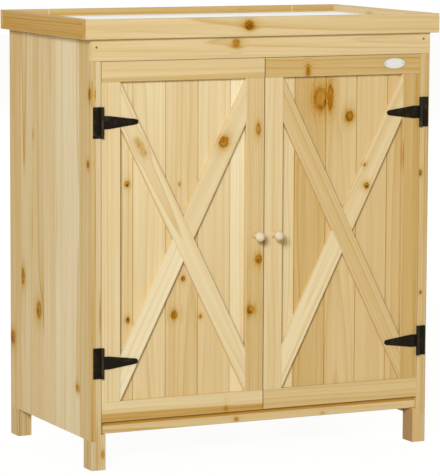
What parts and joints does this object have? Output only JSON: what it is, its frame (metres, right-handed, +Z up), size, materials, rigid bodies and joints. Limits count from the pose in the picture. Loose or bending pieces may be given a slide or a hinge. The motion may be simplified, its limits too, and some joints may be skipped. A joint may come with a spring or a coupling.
{
  "type": "garden storage cabinet",
  "caption": "Pine garden cabinet with a metal-topped tray, boarded sides and two braced doors on T hinges over a shelf.",
  "frame": {"origin": "on the floor, under the middle of the whole object's bounding box, knobs included", "axes": "+X to the right seen from the front, +Y to the back (the doors face -Y), +Z up"},
  "size_m": [0.75, 0.457, 0.85],
  "materials": {
    "carcass_pine": "planed, clear",
    "door_pine": "planed, clear",
    "hinge_black": "satin black",
    "galvanised_sheet": "galvanised",
    "zinc_steel": "zinc plated",
    "catch_plastic": "moulded"
  },
  "bodies": {
    "carcass": {"back_boards": "carcass_pine", "back_rails": "carcass_pine", "deck_battens": "carcass_pine", "deck_boards": "carcass_pine", "door_catches": "catch_plastic", "floor_boards": "carcass_pine", "floor_ledger": "carcass_pine", "foot_blocks": "carcass_pine", "front_apron": "carcass_pine", "front_sill": "carcass_pine", "head_rail": "carcass_pine", "left_hinge_leaves": "hinge_black", "left_hinge_pins": "hinge_black", "left_leg_front": "carcass_pine", "left_leg_rear": "carcass_pine", "left_side_boards": "carcass_pine", "left_side_rails": "carcass_pine", "left_tray_end": "carcass_pine", "right_hinge_leaves": "hinge_black", "right_hinge_pins": "hinge_black", "right_leg_front": "carcass_pine", "right_leg_rear": "carcass_pine", "right_side_boards": "carcass_pine", "right_side_rails": "carcass_pine", "right_tray_end": "carcass_pine", "shelf_batten": "carcass_pine", "shelf_boards": "carcass_pine", "tray_back": "carcass_pine", "tray_front": "carcass_pine", "worktop_sheet": "galvanised_sheet"},
    "left_door": {"left_door_boards": "door_pine", "left_door_bottom_rail": "door_pine", "left_door_hinge_stile": "door_pine", "left_door_knob_stile": "door_pine", "left_door_long_brace": "door_pine", "left_door_short_braces": "door_pine", "left_door_top_rail": "door_pine", "left_hinge_straps": "hinge_black", "left_strike_plate": "zinc_steel"},
    "right_door": {"right_door_boards": "door_pine", "right_door_bottom_rail": "door_pine", "right_door_hinge_stile": "door_pine", "right_door_knob_stile": "door_pine", "right_door_long_brace": "door_pine", "right_door_short_braces": "door_pine", "right_door_top_rail": "door_pine", "right_hinge_straps": "hinge_black", "right_strike_plate": "zinc_steel"}
  },
  "joints": [
    {"name": "left_door_hinge", "type": "hinge", "parent": "carcass", "child": "left_door", "pos_m": [-0.3391, -0.1986, 0.431], "axis": [0, 0, -1], "range_deg": [0, 175]},
    {"name": "right_door_hinge", "type": "hinge", "parent": "carcass", "child": "right_door", "pos_m": [0.3391, -0.1986, 0.431], "axis": [0, 0, 1], "range_deg": [0, 175]}
  ]
}
